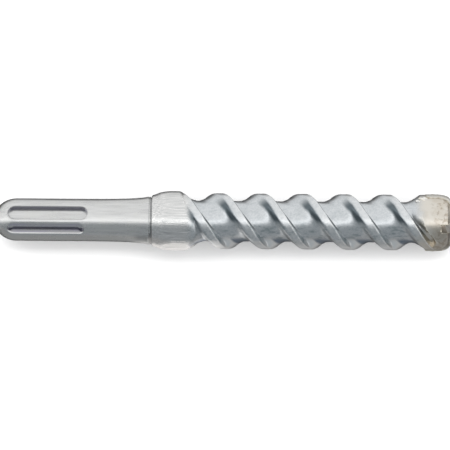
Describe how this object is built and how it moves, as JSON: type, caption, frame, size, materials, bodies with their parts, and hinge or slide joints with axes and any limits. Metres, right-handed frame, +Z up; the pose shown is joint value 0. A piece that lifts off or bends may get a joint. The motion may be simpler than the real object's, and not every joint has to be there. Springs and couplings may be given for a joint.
{
  "type": "masonry drill bit",
  "caption": "Spiral masonry drill bit with a slotted quick-insert shank, a collar and a brazed carbide cross-cutter head.",
  "frame": {"origin": "centre of the struck end face of the shank", "axes": "+X along the tool's axis toward the cutting point; +Z up out of the surface that the tool lies on; +Y square to both"},
  "size_m": [0.11, 0.014, 0.014],
  "materials": {
    "shank_steel": "satin, ground along its length",
    "flute_steel": "satin, shot-blasted flutes, heat tint at the head",
    "carbide": "dull sintered grey",
    "braze": "dull, heat stained"
  },
  "bodies": {
    "root": {"shank": "shank_steel", "fluted_body": "flute_steel", "main_cutter": "carbide", "side_cutter_front": "carbide", "side_cutter_rear": "carbide", "main_braze": "braze", "side_braze_front": "braze", "side_braze_rear": "braze"}
  },
  "joints": []
}
